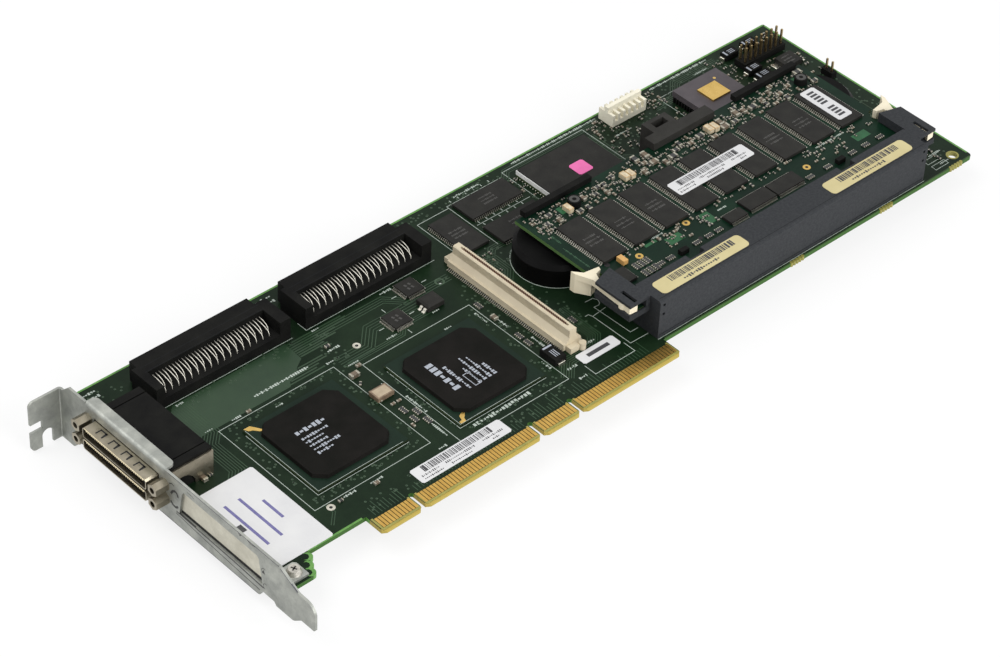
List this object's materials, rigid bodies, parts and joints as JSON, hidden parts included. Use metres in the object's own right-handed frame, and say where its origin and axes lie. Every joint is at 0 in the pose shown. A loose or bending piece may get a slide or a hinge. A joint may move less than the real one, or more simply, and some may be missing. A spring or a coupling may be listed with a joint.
{
  "type": "raid controller card",
  "caption": "Full-length server storage controller card with edge connector, slot bracket, external and internal drive connectors and a latched cache module.",
  "frame": {"origin": "centre of the card's outline in X and Y, at the lowest point of the card as it lies component side up", "axes": "+X along the card from the slot bracket to the far end, +Y from the edge connector to the upper board edge, +Z out of the component face"},
  "size_m": [0.3234, 0.1236, 0.0247],
  "materials": {
    "board_green": "solder mask",
    "gold": "plated",
    "zinc_sheet": "satin",
    "cover_metal": "satin",
    "nickel": "satin",
    "black_plastic": "matt",
    "socket_plastic": "matt",
    "chip_plastic": "matt",
    "ivory_plastic": "satin",
    "ceramic_violet": "matt",
    "contact_tin": "bright",
    "crystal_tan": "satin",
    "capacitor_tan": "satin",
    "spreader_metal": "satin",
    "paper_white": "matt",
    "paper_cream": "matt",
    "paper_pink": "matt"
  },
  "bodies": {
    "card": {"main_board": "board_green", "edge_contacts_component_side": "gold", "edge_contacts_solder_side": "gold", "slot_bracket": "zinc_sheet", "slot_cover_plate": "cover_metal", "bracket_screw": "nickel", "external_connector_housing": "black_plastic", "external_connector_shield": "nickel", "external_connector_shells": "nickel", "external_connector_inserts": "black_plastic", "jack_posts": "nickel", "internal_connector_a": "black_plastic", "internal_connector_b": "black_plastic", "internal_connector_a_contacts": "contact_tin", "internal_connector_b_contacts": "contact_tin", "channel_chip_base": "board_green", "channel_chip_cap": "chip_plastic", "bridge_chip_base": "board_green", "bridge_chip_cap": "chip_plastic", "array_chip_base": "board_green", "array_chip_spreader": "spreader_metal", "array_chip_top": "chip_plastic", "processor_seat": "black_plastic", "processor_body": "ceramic_violet", "processor_lid": "gold", "crystal_can": "crystal_tan", "flat_pack_chips": "chip_plastic", "board_memory_chips": "chip_plastic", "power_transistor": "chip_plastic", "large_capacitor": "black_plastic", "capacitors": "black_plastic", "voltage_regulator": "chip_plastic", "mezzanine_connector": "ivory_plastic", "wire_header": "ivory_plastic", "pin_header_base": "black_plastic", "pin_header_pins": "gold", "jumper_base": "black_plastic", "jumper_pins": "gold", "memory_socket": "socket_plastic", "module_board": "board_green", "module_memory_chips": "chip_plastic", "module_logic_chips": "chip_plastic", "module_inductors": "black_plastic", "module_capacitors": "capacitor_tan", "battery_pack_left": "black_plastic", "battery_pack_right": "black_plastic", "module_clip_left": "black_plastic", "module_clip_right": "black_plastic", "module_support": "black_plastic", "slot_label": "paper_white", "barcode_label": "paper_white", "small_label": "paper_white", "module_barcode_label": "paper_white", "chip_label": "paper_white", "socket_labels": "paper_cream", "array_chip_label": "paper_pink"},
    "left_latch": {"left_latch": "ivory_plastic"},
    "right_latch": {"right_latch": "ivory_plastic"}
  },
  "joints": [
    {"name": "left_latch_pivot", "type": "hinge", "parent": "card", "child": "left_latch", "pos_m": [0.00549, -0.02628, 0.0221], "axis": [0, 0, 1], "range_deg": [0, 35]},
    {"name": "right_latch_pivot", "type": "hinge", "parent": "card", "child": "right_latch", "pos_m": [0.14528, -0.02628, 0.0221], "axis": [0, 0, -1], "range_deg": [0, 35]}
  ]
}
